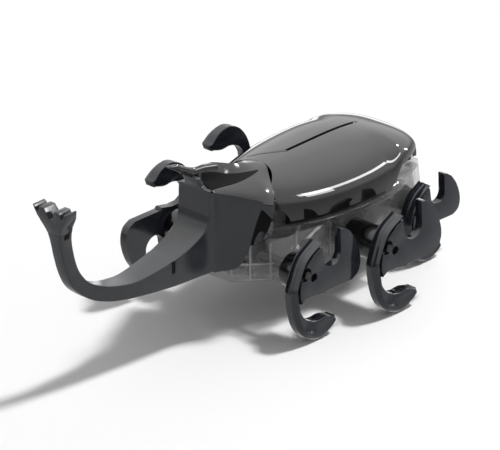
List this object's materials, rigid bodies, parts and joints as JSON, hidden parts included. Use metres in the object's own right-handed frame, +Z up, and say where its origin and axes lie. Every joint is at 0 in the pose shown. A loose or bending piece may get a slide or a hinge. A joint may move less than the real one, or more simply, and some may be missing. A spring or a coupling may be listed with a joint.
{
  "type": "horned beetle walking robot",
  "caption": "Pocket walking robot shaped like a horned beetle: glossy domed wing cover, long upswept forked horn and rotary hook legs on cross axles under a clear chassis.",
  "frame": {"origin": "centre of the overall bounding box at the level the feet stand on", "axes": "+Z up, +Y from the horn towards the tail, +X to the robot's left side (the drive is symmetric about X = 0 apart from the gears)"},
  "size_m": [0.0506, 0.1174, 0.045],
  "materials": {
    "shell_black": "high gloss",
    "head_black": "satin moulded",
    "leg_black": "satin moulded",
    "hub_black": "gloss",
    "clear_smoke": "clear, smoke tint",
    "axle_steel": "drawn",
    "gear_white": "moulded acetal",
    "gear_pin_steel": "drawn",
    "motor_steel": "plated can",
    "motor_core_iron": "laminated",
    "motor_cap_plastic": "moulded",
    "holder_black": "moulded",
    "cell_steel": "polished",
    "contact_nickel": "nickel plated",
    "board_green": "solder mask",
    "chip_black": "epoxy",
    "switch_metal": "plated",
    "knob_black": "moulded",
    "screw_steel": "black oxide",
    "lead_red_pvc": "insulation",
    "lead_black_pvc": "insulation"
  },
  "bodies": {
    "chassis": {"chassis_tub": "clear_smoke", "chassis_deck": "clear_smoke", "wing_shell": "shell_black", "pronotum_cap": "shell_black", "head_shell": "head_black", "horn": "head_black", "gear_plate": "clear_smoke", "gear_pins": "gear_pin_steel", "motor_can": "motor_steel", "motor_cap": "motor_cap_plastic", "motor_cradle": "clear_smoke", "battery_holder": "holder_black", "button_cell_1": "cell_steel", "button_cell_2": "cell_steel", "contact_inner": "contact_nickel", "contact_outer": "contact_nickel", "battery_door": "clear_smoke", "circuit_board": "board_green", "board_parts": "chip_black", "switch_body": "switch_metal", "chassis_screws": "screw_steel", "door_screw": "screw_steel", "lead_red": "lead_red_pvc", "lead_black": "lead_black_pvc"},
    "middle_axle_set": {"middle_axle": "axle_steel", "middle_axle_gear": "gear_white", "middle_left_hub": "hub_black", "middle_left_leg": "leg_black", "middle_right_hub": "hub_black", "middle_right_leg": "leg_black"},
    "front_axle_set": {"front_axle": "axle_steel", "front_axle_gear": "gear_white", "front_left_hub": "hub_black", "front_left_leg": "leg_black", "front_right_hub": "hub_black", "front_right_leg": "leg_black"},
    "rear_axle_set": {"rear_axle": "axle_steel", "rear_axle_gear": "gear_white", "rear_left_hub": "hub_black", "rear_left_leg": "leg_black", "rear_right_hub": "hub_black", "rear_right_leg": "leg_black"},
    "front_idler": {"front_idler_gear": "gear_white"},
    "rear_idler": {"rear_idler_gear": "gear_white"},
    "compound": {"compound_gear": "gear_white"},
    "rotor": {"motor_shaft": "gear_pin_steel", "motor_core": "motor_core_iron", "motor_pinion": "gear_white"},
    "switch_knob_body": {"switch_knob": "knob_black"}
  },
  "joints": [
    {"name": "middle_axle_spin", "type": "hinge", "parent": "chassis", "child": "middle_axle_set", "pos_m": [0, 0.0234, 0.0152], "axis": [1, 0, 0], "continuous": true},
    {"name": "front_axle_spin", "type": "hinge", "parent": "chassis", "child": "front_axle_set", "pos_m": [0, 0.0014, 0.0152], "axis": [1, 0, 0], "continuous": true},
    {"name": "rear_axle_spin", "type": "hinge", "parent": "chassis", "child": "rear_axle_set", "pos_m": [0, 0.047, 0.01201], "axis": [1, 0, 0], "continuous": true},
    {"name": "front_idler_spin", "type": "hinge", "parent": "chassis", "child": "front_idler", "pos_m": [0, 0.0124, 0.01855], "axis": [1, 0, 0], "continuous": true},
    {"name": "rear_idler_spin", "type": "hinge", "parent": "chassis", "child": "rear_idler", "pos_m": [0, 0.03605, 0.01991], "axis": [1, 0, 0], "continuous": true},
    {"name": "compound_spin", "type": "hinge", "parent": "chassis", "child": "compound", "pos_m": [0, 0.0247, 0.0238], "axis": [1, 0, 0], "continuous": true},
    {"name": "rotor_spin", "type": "hinge", "parent": "chassis", "child": "rotor", "pos_m": [0, 0.03286, 0.02], "axis": [1, 0, 0], "continuous": true},
    {"name": "switch_slide", "type": "slide", "parent": "chassis", "child": "switch_knob_body", "axis": [0, 1, 0], "range_m": [0, 0.002]}
  ],
  "couplings": [
    {"joint": "front_axle_spin", "follows": "middle_axle_spin", "ratio": 1},
    {"joint": "rear_axle_spin", "follows": "middle_axle_spin", "ratio": 1},
    {"joint": "front_idler_spin", "follows": "middle_axle_spin", "ratio": -0.53333},
    {"joint": "rear_idler_spin", "follows": "middle_axle_spin", "ratio": -0.42105},
    {"joint": "compound_spin", "follows": "middle_axle_spin", "ratio": 1.6},
    {"joint": "rotor_spin", "follows": "middle_axle_spin", "ratio": -5.6}
  ]
}
